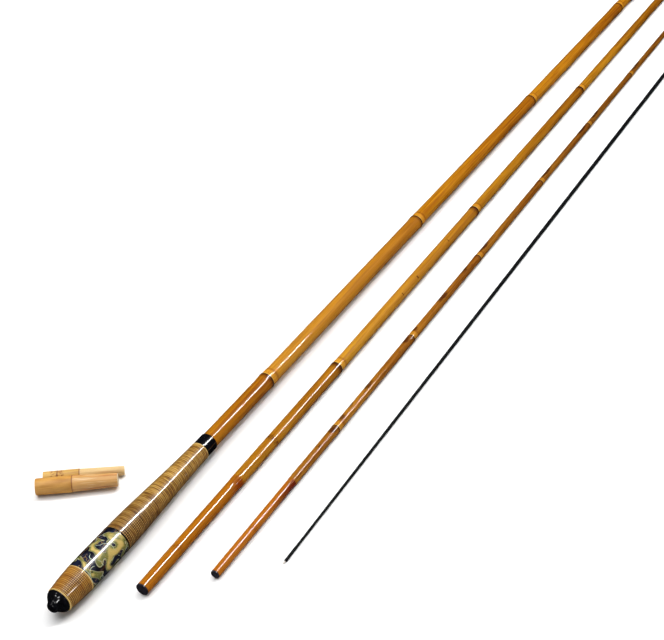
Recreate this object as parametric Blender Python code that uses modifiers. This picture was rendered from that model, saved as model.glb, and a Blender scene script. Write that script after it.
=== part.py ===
"""Herabuna rod: a four-piece bamboo rod, laid out unjoined beside its two bamboo plugs.

Each section is built about its own Z axis, from its near end upwards, and its empty then lays it
along +X. The male end of a section fits the bored mouth of the section before it by one named
clearance. Two sections are hollow all the way, because the other two are packed inside them, and
the plugs close those two mouths. Units are metres, +Z is up and the rod lies on the plane z = 0.
"""

import math

import bmesh
import bpy
from mathutils import Matrix, Vector

COLLECTION = "herabuna_rod"

# Clearances
SLEEVE_GAP = 0.00015  # round a piece that is slid over another
SEAT_GAP = 0.0001  # between two pieces that stand end to end
FIT_CLEARANCE = 0.0001  # round a male end in its socket

# Butt section, from the end cap upwards
BUTT_LENGTH = 1.172
CAP_LENGTH = 0.0087
CAP_RADIUS = 0.0086
CAP_NUB_RADIUS = 0.0040
CAP_NUB_ROUND = 0.0022
CAP_EASE = 1.5  # 1 is a plain dome above the nub, and 2 an S-curve
CAP_SPIGOT_RADIUS = 0.0028
CAP_SPIGOT_LENGTH = 0.012
LOWER_WRAP_LENGTH = 0.0186
BAND_LENGTH = 0.0366
MAIN_WRAP_LENGTH = 0.0961
COLLAR_LENGTH = 0.0114
TRIM_WIDTH = 0.0007
TRIM_RISE = 0.00010
WRAP_THICKNESS = 0.0006
# The grip's outline, (height, radius): it swells to the palm, then draws in to the collar
GRIP_OUTLINE = (
    (CAP_LENGTH, 0.0089),
    (0.0180, 0.0099),
    (0.0290, 0.0106),
    (0.0450, 0.0107),
    (0.0660, 0.0106),
    (0.0845, 0.01025),
    (0.1085, 0.0092),
    (0.1350, 0.0080),
    (0.1635, 0.0071),
)
GRIP_SEAT_RADIUS = 0.0055  # of the culm under the grip
COLLAR_RADIUS = 0.0070
BUTT_RADIUS = 0.00642
BUTT_NODES = (0.2533, 0.5129, 0.7927, 1.0856)
BUTT_SOCKET_WALL = 0.00115
BUTT_BORE_RADIUS = 0.0044
BUTT_WRAP_LENGTH = 0.045

# Second section
SECOND_LENGTH = 1.165
SECOND_MALE_LENGTH = 0.1092
SECOND_MALE_END_RADIUS = 0.0045
SECOND_MALE_ROOT_RADIUS = 0.0047
SECOND_NODES = (0.2542, 0.5179, 0.8040, 1.1080)
SECOND_SANDED_NODE = 0.0379
SECOND_SOCKET_WALL = 0.0011
SECOND_WRAP_LENGTH = 0.040

# Third section
THIRD_LENGTH = 1.085
THIRD_MALE_LENGTH = 0.0966
THIRD_MALE_END_RADIUS = 0.0031
THIRD_MALE_ROOT_RADIUS = 0.00325
THIRD_NODES = (0.1596, 0.2839, 0.4162, 0.5649, 0.6997, 0.8375, 0.9850)
THIRD_SANDED_NODE = 0.0450
THIRD_SOCKET_WALL = 0.00058
THIRD_WRAP_LENGTH = 0.032

# Tip section, laid the other way round, with its fine end near
TIP_LENGTH = 1.105
TIP_MALE_LENGTH = 0.075
TIP_MALE_END_RADIUS = 0.00195
TIP_MALE_ROOT_RADIUS = 0.0020
TIP_SEAT_RADIUS = 0.0006
TIP_RADII = ((0.0145, 0.00088), (0.167, 0.00115), (0.409, 0.0016), (0.808, 0.00205))
TIP_THICK_RADIUS = 0.00215
TIP_BINDING_LENGTH = 0.0144
TIP_BINDING_THICKNESS = 0.00025
TIP_LOOP_LENGTH = 0.0028
TIP_LOOP_WIDTH = 0.0010
TIP_LOOP_CORD_RADIUS = 0.00022

# Male ends, sockets and their whippings
MALE_SHOULDER = 0.0002
SOCKET_SPARE = 0.004
SOCKET_WRAP_THICKNESS = 0.00045
STORAGE_SPARE = 0.003  # left between a stored section and the plug over it
BORE_FLOOR = 0.004  # the least bamboo left between a hollow and the hole in the near end
END_SEAL_THICKNESS = 0.0010
END_SEAL_SPIGOT = 0.006
END_SEAL_SPIGOT_SHARE = 0.45
EDGE = 0.0003

# Bamboo nodes: a sheath ring that the lower culm swells to, a bright band, then a soft ridge
NODE_SWELL = 0.060
NODE_SWELL_REACH = 0.0055
NODE_RIDGE = 0.035
NODE_RIDGE_OFFSET = 0.0060
NODE_RIDGE_REACH = 0.0032
NODE_STEP = 0.0005
NODE_STATIONS = (-0.010, -0.0035, -0.0004, 0.0004, 0.0030, 0.0060, 0.0100)
SANDED_SHARE = 0.12
BUD_ANGLE = math.radians(-56.5)
BUD_RISE = 0.055
BUD_LENGTH = 0.0035
BUD_SPREAD = math.radians(26.0)
GROOVE_DEPTH = 0.055
GROOVE_SPREAD = math.radians(34.0)
GROOVE_LENGTH = 0.062
GROOVE_STATIONS = (0.030, 0.062)

# Plugs
PLUG_HEAD_LENGTH = 0.0253
PLUG_SPIGOT_LENGTH = 0.0312
LARGE_PLUG_HEAD_RADIUS = 0.0060
LARGE_PLUG_ROOT_RADIUS = 0.0053
SMALL_PLUG_HEAD_RADIUS = 0.0042
SMALL_PLUG_ROOT_RADIUS = 0.0040
PLUG_HEAD_TAPER = 0.00015
PLUG_SLACK = 0.00005  # of a spigot's end in the mouth it wedges into
PLUG_NODE = 0.0100
PLUG_NODE_OUTLINE = ((0.0030, 0.0), (0.0006, -0.00008), (-0.0004, 0.00006), (-0.0030, 0.0))
PLUG_GAP = 0.0004

# Where the pieces lie: each near end from the butt section's, and each one's turn about Z
SECOND_PLACE = (0.0439, -0.0365)
THIRD_PLACE = (0.0778, -0.0691)
TIP_PLACE = (0.1121, -0.1015)
LARGE_PLUG_PLACE = (0.0814, 0.0817)
SMALL_PLUG_LEAD = 0.0043
THIRD_TURN = math.radians(-0.165)
TIP_TURN = math.radians(-0.205)
PLUG_TURN = math.radians(-53.5)

# Facets round each piece
GRIP_SIDES = 32
BUTT_SIDES = 24
SECOND_SIDES = 20
THIRD_SIDES = 16
TIP_SIDES = 12
PLUG_SIDES = 24
CAP_NUB_STEPS = 4
CAP_SHOULDER_STEPS = 6
GRIP_STATION_STEP = 0.0095
LOOP_STEPS = 8

# Heights worked out from the sizes above
CULM_START = CAP_LENGTH + SEAT_GAP
GRIP_TOP = CAP_LENGTH + LOWER_WRAP_LENGTH + BAND_LENGTH + MAIN_WRAP_LENGTH + 4 * TRIM_WIDTH + 8 * SEAT_GAP
COLLAR_TOP = GRIP_TOP + COLLAR_LENGTH + SEAT_GAP

# Radii worked out from what fits into what
BUTT_MOUTH_RADIUS = SECOND_MALE_ROOT_RADIUS + FIT_CLEARANCE
SECOND_MOUTH_RADIUS = THIRD_MALE_ROOT_RADIUS + FIT_CLEARANCE
THIRD_MOUTH_RADIUS = TIP_MALE_ROOT_RADIUS + FIT_CLEARANCE
BUTT_END_RADIUS = BUTT_MOUTH_RADIUS + BUTT_SOCKET_WALL
SECOND_END_RADIUS = SECOND_MOUTH_RADIUS + SECOND_SOCKET_WALL
THIRD_END_RADIUS = THIRD_MOUTH_RADIUS + THIRD_SOCKET_WALL
SECOND_RADIUS = SECOND_MALE_ROOT_RADIUS + MALE_SHOULDER
THIRD_RADIUS = THIRD_MALE_ROOT_RADIUS + MALE_SHOULDER

BAMBOO_HONEY = (0.56, 0.235, 0.028)
BAMBOO_SECOND = (0.54, 0.225, 0.030)
BAMBOO_THIRD = (0.44, 0.180, 0.026)
BAMBOO_RAW = (0.66, 0.43, 0.18)
LACQUER_BLACK = (0.004, 0.004, 0.006)
LACQUER_BROWN = (0.045, 0.012, 0.006)
GOLD_LINE = (0.62, 0.38, 0.10)
WINDING_TAN = (0.38, 0.19, 0.045)
BAND_GREEN = (0.48, 0.46, 0.24)
CORE_PAPER = (0.35, 0.24, 0.14)
THREAD_PALE = (0.60, 0.56, 0.50)


def clear_scene():
    for item in list(bpy.data.objects):
        bpy.data.objects.remove(item, do_unlink=True)


def material(name, colour, roughness, metallic=0.0):
    made = bpy.data.materials.new(name)
    made.use_nodes = True
    surface = made.node_tree.nodes["Principled BSDF"]
    surface.inputs["Base Color"].default_value = (*colour, 1.0)
    surface.inputs["Roughness"].default_value = roughness
    surface.inputs["Metallic"].default_value = metallic
    made.diffuse_color = (*colour, 1.0)
    return made


def lerp(start, end, share):
    return start + (end - start) * share


def new_object(name, mesh, parent, look, collection):
    made = bpy.data.objects.new(name, mesh)
    made.data.materials.append(look)
    made.parent = parent
    collection.objects.link(made)
    return made


def turned(name, outline, sides, parent, look, collection, closed):
    """Turns an outline of (radius, height) about Z. It runs down the outer side, top to bottom."""
    mesh = bpy.data.meshes.new(name)
    points = [(radius, 0.0, height) for radius, height in outline]
    edges = [(i, i + 1) for i in range(len(points) - 1)]
    if closed:
        edges.append((len(points) - 1, 0))
    mesh.from_pydata(points, edges, [])
    made = new_object(name, mesh, parent, look, collection)
    screw = made.modifiers.new("turn", "SCREW")
    screw.axis = "Z"
    screw.angle = math.tau
    screw.steps = sides
    screw.render_steps = sides
    screw.use_merge_vertices = True
    screw.merge_threshold = 1e-6
    screw.use_smooth_shade = True
    return made


def sleeve(name, bottom, top, outer, inner, sides, parent, look, collection, steps=1, edge=0.0):
    """A tube over another piece. outer and inner give the radius at a height, and edge rounds its ends."""
    heights = [lerp(top - edge, bottom + edge, i / steps) for i in range(steps + 1)]
    outline = [(outer(z), z) for z in heights]
    if edge:
        outline.insert(0, (outer(top) - edge, top))
        outline.append((outer(bottom) - edge, bottom))
    inner_is_straight = inner(bottom) == inner(top)
    inner_heights = [bottom, top] if inner_is_straight else [bottom, *heights[-2:0:-1], top]
    outline += [(inner(z), z) for z in inner_heights]
    return turned(name, outline, sides, parent, look, collection, closed=True)


def lofted(name, rings, sides, parent, look, collection):
    """Skins rings of (radius at an angle, height), in order, and closes the first and last."""
    shape = bmesh.new()
    loops = []
    for radius_at, height in rings:
        loop = []
        for i in range(sides):
            angle = math.tau * i / sides
            radius = radius_at(angle)
            loop.append(shape.verts.new((radius * math.cos(angle), radius * math.sin(angle), height)))
        loops.append(loop)
    for lower, upper in zip(loops, loops[1:]):
        for i in range(sides):
            j = (i + 1) % sides
            shape.faces.new((lower[i], lower[j], upper[j], upper[i]))
    shape.faces.new(loops[0])
    shape.faces.new(loops[-1])
    bmesh.ops.recalc_face_normals(shape, faces=shape.faces)
    mesh = bpy.data.meshes.new(name)
    shape.to_mesh(mesh)
    shape.free()
    mesh.shade_smooth()
    mesh.set_sharp_from_angle(angle=math.radians(50.0))
    return new_object(name, mesh, parent, look, collection)


def grip_radius(height):
    """The grip's outside, as a smooth curve through the marks of GRIP_OUTLINE."""
    marks = GRIP_OUTLINE
    if height >= marks[-1][0]:
        return marks[-1][1]
    slopes = []
    for i in range(len(marks)):
        low, high = marks[max(i - 1, 0)], marks[min(i + 1, len(marks) - 1)]
        slopes.append((high[1] - low[1]) / (high[0] - low[0]))
    i = max(place for place, mark in enumerate(marks) if mark[0] <= max(height, marks[0][0]))
    (low, start), (high, end) = marks[i], marks[i + 1]
    span = high - low
    share = (height - low) / span
    bend = share * (1.0 - share) * span
    curve = lerp(start, end, share**2 * (3.0 - 2.0 * share))
    return curve + bend * ((1.0 - share) * slopes[i] - share * slopes[i + 1])


def node_rise(distance):
    """How far a bamboo node stands out, as a share of the culm's radius, that far past its sheath ring."""
    if distance <= 0:
        return NODE_SWELL * math.exp((distance + NODE_STEP) / NODE_SWELL_REACH)
    return NODE_RIDGE * math.exp(-(((distance - NODE_RIDGE_OFFSET) / NODE_RIDGE_REACH) ** 2))


def hump(angle, centre, spread):
    """1 at the centre angle, falling to 0 at the spread on each side."""
    away = abs((angle - centre + math.pi) % math.tau - math.pi)
    return 0.0 if away >= spread else math.cos(away / spread * math.pi / 2) ** 2


def bud_and_groove(distance, angle, side):
    """The bud scar just above a sheath ring, and the shallow groove that runs up from it."""
    if distance <= 0:
        return 0.0
    bud = BUD_RISE * math.exp(-((distance / BUD_LENGTH) ** 2)) * hump(angle, side, BUD_SPREAD)
    along = min(distance / NODE_RIDGE_OFFSET, 1.0) * max(1.0 - distance / GROOVE_LENGTH, 0.0)
    return bud - GROOVE_DEPTH * along * hump(angle, side, GROOVE_SPREAD)


class Culm:
    """The outside of one bamboo section: a straight taper between (height, radius) marks, with nodes."""

    def __init__(self, marks, nodes, sanded=()):
        self.marks = marks
        self.nodes = nodes
        self.sanded = sanded

    def taper(self, height):
        for (low, start), (high, end) in zip(self.marks, self.marks[1:]):
            if height <= high:
                return lerp(start, end, (height - low) / (high - low))
        return self.marks[-1][1]

    def radius(self, height, angle=math.pi):
        rise = 0.0
        for place, height_of_node in enumerate(self.nodes):
            distance = height - height_of_node
            rise += node_rise(distance)
            rise += bud_and_groove(distance, angle, BUD_ANGLE + math.pi * (place + 1))
        rise += SANDED_SHARE * sum(node_rise(height - node) for node in self.sanded)
        return self.taper(height) * (1.0 + rise)

    def heights(self):
        found = {height for height, _ in self.marks}
        for node in (*self.nodes, *self.sanded):
            found |= {node + offset for offset in NODE_STATIONS}
        for node in self.nodes:
            found |= {node + offset for offset in GROOVE_STATIONS}
        low, high = self.marks[0][0], self.marks[-1][0]
        inside = sorted(height for height in found if low <= height <= high)
        kept = [inside[0]]
        for height in inside[1:-1]:
            if height - kept[-1] > NODE_STEP and high - height > NODE_STEP:
                kept.append(height)
        return [*kept, high]

    def rings(self):
        return [(lambda angle, z=z: self.radius(z, angle), z) for z in self.heights()]


def flat_ring(radius, height):
    return (lambda angle: radius, height)


def hollow_culm(name, culm, near_end, hollow, sides, parent, look, collection):
    """A bamboo section: near_end, (radius, height) rings out of its blind hole, then hollow, down its bore."""
    rings = [flat_ring(radius, height) for radius, height in near_end]
    rings += culm.rings()
    rings += [flat_ring(radius, height) for radius, height in hollow]
    return lofted(name, rings, sides, parent, look, collection)


def lay_down(name, place, turn, near, far):
    """An empty whose Z axis lies along +X, so that the rings near and far, (radius, height), rest on z = 0."""
    (near_radius, near_height), (far_radius, far_height) = near, far
    tilt = math.atan2(far_radius - near_radius, far_height - near_height)
    height = near_radius * math.cos(tilt) - near_height * math.sin(tilt)
    empty = bpy.data.objects.new(name, None)
    empty.empty_display_size = 0.05
    spin = Matrix.Rotation(turn, 4, "Z") @ Matrix.Rotation(math.pi / 2 - tilt, 4, "Y")
    empty.matrix_world = Matrix.Translation((*place, height)) @ spin
    return empty


def make_butt_cap(parent, look, collection):
    top = CAP_LENGTH + CAP_SPIGOT_LENGTH
    outline = [(0.0, top), (CAP_SPIGOT_RADIUS, top), (CAP_SPIGOT_RADIUS, CAP_LENGTH)]
    outline.append((CAP_RADIUS - EDGE, CAP_LENGTH))
    for i in range(CAP_SHOULDER_STEPS + 1):
        share = 1.0 - i / CAP_SHOULDER_STEPS
        height = lerp(CAP_NUB_ROUND, CAP_LENGTH - EDGE, share)
        radius = lerp(CAP_NUB_RADIUS, CAP_RADIUS, math.sin(share * math.pi / 2) ** CAP_EASE)
        outline.append((radius, height))
    for i in range(1, CAP_NUB_STEPS):
        angle = math.pi / 2 * i / CAP_NUB_STEPS
        outline.append((CAP_NUB_RADIUS * math.cos(angle), CAP_NUB_ROUND * (1.0 - math.sin(angle))))
    outline.append((0.0, 0.0))
    return turned("butt_cap", outline, GRIP_SIDES, parent, look, collection, closed=False)


def make_grip(parent, looks, collection):
    """The core on the culm's seat, and the trim rings, windings, band and collar stacked over it."""
    core_inner = GRIP_SEAT_RADIUS + SLEEVE_GAP

    def core_outer(height):
        return grip_radius(height) - WRAP_THICKNESS - SLEEVE_GAP

    def skin_inner(height):
        return grip_radius(height) - WRAP_THICKNESS

    def trim_outer(height):
        return grip_radius(height) + TRIM_RISE

    core_steps = round((GRIP_TOP - CAP_LENGTH) / (2 * GRIP_STATION_STEP))
    sleeve("grip_core", CULM_START, GRIP_TOP - SEAT_GAP, core_outer, lambda z: core_inner, GRIP_SIDES,
           parent, looks["core"], collection, core_steps)
    stack = (
        ("butt_trim_ring", TRIM_WIDTH, trim_outer, "gold"),
        ("lower_grip_wrap", LOWER_WRAP_LENGTH, grip_radius, "winding"),
        ("band_lower_ring", TRIM_WIDTH, trim_outer, "gold"),
        ("pattern_band", BAND_LENGTH, grip_radius, "band"),
        ("band_upper_ring", TRIM_WIDTH, trim_outer, "lacquer"),
        ("main_grip_wrap", MAIN_WRAP_LENGTH, grip_radius, "winding"),
        ("collar_trim_ring", TRIM_WIDTH, trim_outer, "gold"),
    )
    height = CAP_LENGTH + SEAT_GAP
    for name, length, outer, look in stack:
        steps = max(round(length / GRIP_STATION_STEP), 1)
        sleeve(name, height, height + length, outer, skin_inner, GRIP_SIDES, parent, looks[look],
               collection, steps)
        height += length + SEAT_GAP
    sleeve("grip_collar", GRIP_TOP, COLLAR_TOP - SEAT_GAP, lambda z: COLLAR_RADIUS, lambda z: core_inner,
           GRIP_SIDES, parent, looks["lacquer"], collection, edge=EDGE)


def make_socket_wrap(name, section_length, wrap_length, culm_radius, sides, parent, look, collection):
    """The lacquered thread whipping that keeps a socket's mouth from splitting."""
    inner = culm_radius + SLEEVE_GAP
    outer = inner + SOCKET_WRAP_THICKNESS
    return sleeve(name, section_length - wrap_length, section_length - SEAT_GAP, lambda z: outer,
                  lambda z: inner, sides, parent, look, collection, edge=SOCKET_WRAP_THICKNESS / 2)


def wrap_outside(culm_radius):
    return culm_radius + SLEEVE_GAP + SOCKET_WRAP_THICKNESS


def make_end_seal(name, male_radius, sides, parent, look, collection):
    """The black lacquered disc that closes a male end, with its spigot in the bamboo's pith hole."""
    spigot = male_radius * END_SEAL_SPIGOT_SHARE
    outline = [
        (0.0, END_SEAL_THICKNESS + END_SEAL_SPIGOT),
        (spigot, END_SEAL_THICKNESS + END_SEAL_SPIGOT),
        (spigot, END_SEAL_THICKNESS),
        (male_radius, END_SEAL_THICKNESS),
        (male_radius, EDGE),
        (male_radius - EDGE, 0.0),
        (0.0, 0.0),
    ]
    return turned(name, outline, sides, parent, look, collection, closed=False)


def hollow_bottom(length, stored, near_hole_top):
    """How high a hollow starts that takes a stored section with the plug over it, clear of the near hole."""
    return max(length - PLUG_SPIGOT_LENGTH - STORAGE_SPARE - stored, near_hole_top + BORE_FLOOR)


def make_male_section(section, sizes, sides, parent, looks, collection):
    """A section with a male near end and a bored mouth: its culm, its end seal and its whipping."""
    length, wrap = sizes["length"], sizes["wrap"]
    start = END_SEAL_THICKNESS + SEAT_GAP
    culm = Culm(
        (
            (start, sizes["male_end"]),
            (sizes["male_length"], sizes["male_root"]),
            (sizes["male_length"] + EDGE, sizes["body"]),
            (length - wrap, sizes["end"]),
            (length, sizes["end"]),
        ),
        sizes["nodes"],
        (sizes["sanded"],),
    )
    hole_radius = sizes["male_end"] * END_SEAL_SPIGOT_SHARE + SLEEVE_GAP
    hole_top = start + END_SEAL_SPIGOT + SEAT_GAP
    socket_bottom = length - sizes["next_male"] - SOCKET_SPARE
    hollow = [(sizes["mouth"], length), (sizes["socket_end"], socket_bottom)]
    if sizes["stored"]:
        hollow.append((sizes["socket_end"], hollow_bottom(length, sizes["stored"], hole_top)))
    hollow_culm(f"{section}_culm", culm, [(hole_radius, hole_top), (hole_radius, start)], hollow, sides,
                parent, looks[f"{section}_bamboo"], collection)
    make_end_seal(f"{section}_end_seal", sizes["male_end"], sides, parent, looks["lacquer"], collection)
    make_socket_wrap(f"{section}_socket_wrap", length, wrap, sizes["end"], sides, parent,
                     looks["whipping"], collection)


def make_butt_section(looks, collection):
    wrap_start = BUTT_LENGTH - BUTT_WRAP_LENGTH
    culm = Culm(
        ((COLLAR_TOP, BUTT_RADIUS), (wrap_start, BUTT_END_RADIUS), (BUTT_LENGTH, BUTT_END_RADIUS)),
        BUTT_NODES,
    )
    belly_height, belly_radius = max(GRIP_OUTLINE, key=lambda mark: mark[1])
    empty = lay_down("butt_section", (0.0, 0.0), 0.0, (belly_radius, belly_height),
                     (wrap_outside(BUTT_END_RADIUS), wrap_start))
    collection.objects.link(empty)
    make_butt_cap(empty, looks["lacquer"], collection)
    make_grip(empty, looks, collection)
    spigot_hole = CAP_SPIGOT_RADIUS + SLEEVE_GAP
    spigot_hole_top = CAP_LENGTH + CAP_SPIGOT_LENGTH + SEAT_GAP
    near_end = [
        (spigot_hole, spigot_hole_top),
        (spigot_hole, CULM_START),
        (GRIP_SEAT_RADIUS, CULM_START),
        (GRIP_SEAT_RADIUS, COLLAR_TOP),
    ]
    socket_bottom = BUTT_LENGTH - SECOND_MALE_LENGTH - SOCKET_SPARE
    hollow = [
        (BUTT_MOUTH_RADIUS, BUTT_LENGTH),
        (SECOND_MALE_END_RADIUS + FIT_CLEARANCE, socket_bottom),
        (BUTT_BORE_RADIUS, socket_bottom - EDGE),
        (BUTT_BORE_RADIUS, hollow_bottom(BUTT_LENGTH, THIRD_LENGTH, spigot_hole_top)),
    ]
    hollow_culm("butt_culm", culm, near_end, hollow, BUTT_SIDES, empty, looks["butt_bamboo"], collection)
    make_socket_wrap("butt_socket_wrap", BUTT_LENGTH, BUTT_WRAP_LENGTH, BUTT_END_RADIUS, BUTT_SIDES,
                     empty, looks["whipping"], collection)


def first_node_crest(nodes, body_radius):
    return (body_radius * (1.0 + NODE_SWELL), nodes[0] - NODE_STEP)


def make_second_section(looks, collection):
    near = first_node_crest(SECOND_NODES, SECOND_RADIUS)
    far = (wrap_outside(SECOND_END_RADIUS), SECOND_LENGTH - SECOND_WRAP_LENGTH)
    empty = lay_down("second_section", SECOND_PLACE, 0.0, near, far)
    collection.objects.link(empty)
    sizes = {
        "length": SECOND_LENGTH,
        "male_length": SECOND_MALE_LENGTH,
        "male_end": SECOND_MALE_END_RADIUS,
        "male_root": SECOND_MALE_ROOT_RADIUS,
        "body": SECOND_RADIUS,
        "end": SECOND_END_RADIUS,
        "nodes": SECOND_NODES,
        "sanded": SECOND_SANDED_NODE,
        "wrap": SECOND_WRAP_LENGTH,
        "mouth": SECOND_MOUTH_RADIUS,
        "socket_end": THIRD_MALE_END_RADIUS + FIT_CLEARANCE,
        "next_male": THIRD_MALE_LENGTH,
        "stored": TIP_LENGTH + TIP_LOOP_LENGTH,
    }
    make_male_section("second", sizes, SECOND_SIDES, empty, looks, collection)


def make_third_section(looks, collection):
    near = first_node_crest(THIRD_NODES, THIRD_RADIUS)
    far = (wrap_outside(THIRD_END_RADIUS), THIRD_LENGTH - THIRD_WRAP_LENGTH)
    empty = lay_down("third_section", THIRD_PLACE, THIRD_TURN, near, far)
    collection.objects.link(empty)
    sizes = {
        "length": THIRD_LENGTH,
        "male_length": THIRD_MALE_LENGTH,
        "male_end": THIRD_MALE_END_RADIUS,
        "male_root": THIRD_MALE_ROOT_RADIUS,
        "body": THIRD_RADIUS,
        "end": THIRD_END_RADIUS,
        "nodes": THIRD_NODES,
        "sanded": THIRD_SANDED_NODE,
        "wrap": THIRD_WRAP_LENGTH,
        "mouth": THIRD_MOUTH_RADIUS,
        "socket_end": TIP_MALE_END_RADIUS + FIT_CLEARANCE,
        "next_male": TIP_MALE_LENGTH,
        "stored": 0.0,
    }
    make_male_section("third", sizes, THIRD_SIDES, empty, looks, collection)


def make_tip_loop(parent, look, collection):
    """The small cord loop bound to the tip, which the line is hitched to."""
    curve = bpy.data.curves.new("tip_line_loop", "CURVE")
    curve.dimensions = "3D"
    curve.bevel_depth = TIP_LOOP_CORD_RADIUS
    curve.bevel_resolution = 1
    curve.use_fill_caps = True
    half = TIP_LOOP_WIDTH / 2 - TIP_LOOP_CORD_RADIUS
    straight = TIP_LOOP_LENGTH - half - TIP_LOOP_CORD_RADIUS
    start = -SEAT_GAP
    points = [(0.0, -half, start)]
    for i in range(LOOP_STEPS + 1):
        angle = math.pi * i / LOOP_STEPS
        points.append((0.0, -half * math.cos(angle), start - straight - half * math.sin(angle)))
    points.append((0.0, half, start))
    spline = curve.splines.new("POLY")
    spline.points.add(len(points) - 1)
    for point, place in zip(spline.points, points):
        point.co = (*place, 1.0)
    made = bpy.data.objects.new("tip_line_loop", curve)
    curve.materials.append(look)
    made.parent = parent
    collection.objects.link(made)
    return made


def make_tip_section(looks, collection):
    """The fine solid tip: a slim taper with its male end, its binding and the line loop."""
    binding_inner = TIP_SEAT_RADIUS + SLEEVE_GAP
    binding_outer = binding_inner + TIP_BINDING_THICKNESS
    body_end = TIP_LENGTH - TIP_MALE_LENGTH
    empty = lay_down("tip_section", TIP_PLACE, TIP_TURN, (binding_outer, 0.0), (TIP_THICK_RADIUS, body_end - EDGE))
    collection.objects.link(empty)
    outline = [
        (0.0, TIP_LENGTH),
        (TIP_MALE_END_RADIUS - EDGE, TIP_LENGTH),
        (TIP_MALE_END_RADIUS, TIP_LENGTH - EDGE),
        (TIP_MALE_ROOT_RADIUS, body_end),
        (TIP_THICK_RADIUS, body_end - EDGE),
    ]
    outline += [(radius, height) for height, radius in reversed(TIP_RADII)]
    outline += [(TIP_SEAT_RADIUS, TIP_RADII[0][0]), (TIP_SEAT_RADIUS, 0.0), (0.0, 0.0)]
    turned("tip_blank", outline, TIP_SIDES, empty, looks["lacquer"], collection, closed=False)
    sleeve("tip_binding", 0.0, TIP_BINDING_LENGTH, lambda z: binding_outer, lambda z: binding_inner, TIP_SIDES,
           empty, looks["whipping"], collection, edge=TIP_BINDING_THICKNESS / 2)
    make_tip_loop(empty, looks["thread"], collection)


def make_plug(name, head, root, end, place, node, look, collection):
    """A bamboo plug: its head keeps the culm's skin, and its spigot is whittled down to wedge in a mouth."""
    total = PLUG_HEAD_LENGTH + PLUG_SPIGOT_LENGTH
    empty = bpy.data.objects.new(f"{name}_place", None)
    empty.empty_display_size = 0.02
    spin = Matrix.Rotation(PLUG_TURN, 4, "Z") @ Matrix.Rotation(math.pi / 2, 4, "Y")
    empty.matrix_world = Matrix.Translation((*place, head)) @ spin
    collection.objects.link(empty)
    outline = [
        (0.0, total),
        (end - EDGE, total),
        (end, total - EDGE),
        (root, PLUG_HEAD_LENGTH),
        (head - EDGE / 2, PLUG_HEAD_LENGTH),
        (head, PLUG_HEAD_LENGTH - EDGE / 2),
    ]
    near = head - PLUG_HEAD_TAPER
    if node:
        for offset, rise in PLUG_NODE_OUTLINE:
            outline.append((lerp(near, head, (node + offset) / PLUG_HEAD_LENGTH) + rise, node + offset))
    outline += [(near, EDGE), (near - EDGE, 0.0), (0.0, 0.0)]
    return turned(name, outline, PLUG_SIDES, empty, look, collection, closed=False)


def make_plugs(look, collection):
    make_plug("large_plug", LARGE_PLUG_HEAD_RADIUS, LARGE_PLUG_ROOT_RADIUS, BUTT_MOUTH_RADIUS - PLUG_SLACK,
              LARGE_PLUG_PLACE, 0.0, look, collection)
    along = Vector((math.cos(PLUG_TURN), math.sin(PLUG_TURN)))
    across = Vector((-along.y, along.x))
    apart = LARGE_PLUG_HEAD_RADIUS + SMALL_PLUG_HEAD_RADIUS + PLUG_GAP
    place = Vector(LARGE_PLUG_PLACE) + along * SMALL_PLUG_LEAD + across * apart
    make_plug("small_plug", SMALL_PLUG_HEAD_RADIUS, SMALL_PLUG_ROOT_RADIUS, SECOND_MOUTH_RADIUS - PLUG_SLACK,
              tuple(place), PLUG_NODE, look, collection)


def make_materials():
    return {
        "lacquer": material("black_lacquer", LACQUER_BLACK, 0.12),
        "whipping": material("brown_lacquered_thread", LACQUER_BROWN, 0.2),
        "gold": material("gold_line", GOLD_LINE, 0.3),
        "winding": material("lacquered_winding", WINDING_TAN, 0.25),
        "band": material("lacquered_band", BAND_GREEN, 0.15),
        "core": material("grip_core_paper", CORE_PAPER, 0.8),
        "butt_bamboo": material("butt_bamboo", BAMBOO_HONEY, 0.2),
        "second_bamboo": material("second_bamboo", BAMBOO_SECOND, 0.2),
        "third_bamboo": material("third_bamboo", BAMBOO_THIRD, 0.2),
        "raw_bamboo": material("raw_bamboo", BAMBOO_RAW, 0.55),
        "thread": material("pale_thread", THREAD_PALE, 0.7),
    }


def centre_on_floor(collection):
    """Moves the empties so that the origin is at the middle of the whole layout, on the floor."""
    bpy.context.view_layer.update()
    graph = bpy.context.evaluated_depsgraph_get()
    corners = []
    for item in collection.objects:
        if item.type == "EMPTY":
            continue
        evaluated = item.evaluated_get(graph)
        mesh = evaluated.to_mesh()
        corners += [evaluated.matrix_world @ vertex.co for vertex in mesh.vertices]
        evaluated.to_mesh_clear()
    low = Vector(min(corner[i] for corner in corners) for i in range(3))
    high = Vector(max(corner[i] for corner in corners) for i in range(3))
    middle = Vector(((low.x + high.x) / 2, (low.y + high.y) / 2, low.z))
    for item in collection.objects:
        if item.type == "EMPTY":
            item.location -= middle
    bpy.context.view_layer.update()


def main():
    clear_scene()
    collection = bpy.data.collections.new(COLLECTION)
    bpy.context.scene.collection.children.link(collection)
    looks = make_materials()
    make_butt_section(looks, collection)
    make_second_section(looks, collection)
    make_third_section(looks, collection)
    make_tip_section(looks, collection)
    make_plugs(looks["raw_bamboo"], collection)
    centre_on_floor(collection)


main()
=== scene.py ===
"""Looks for the herabuna rod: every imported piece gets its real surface, in the model's own frame.

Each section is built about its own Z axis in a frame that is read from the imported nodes. In that
frame Z runs along the rod from its near end, X points down and Y to the side.
"""

import math
from dataclasses import dataclass

import bpy
from mathutils import Matrix, Vector


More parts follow.
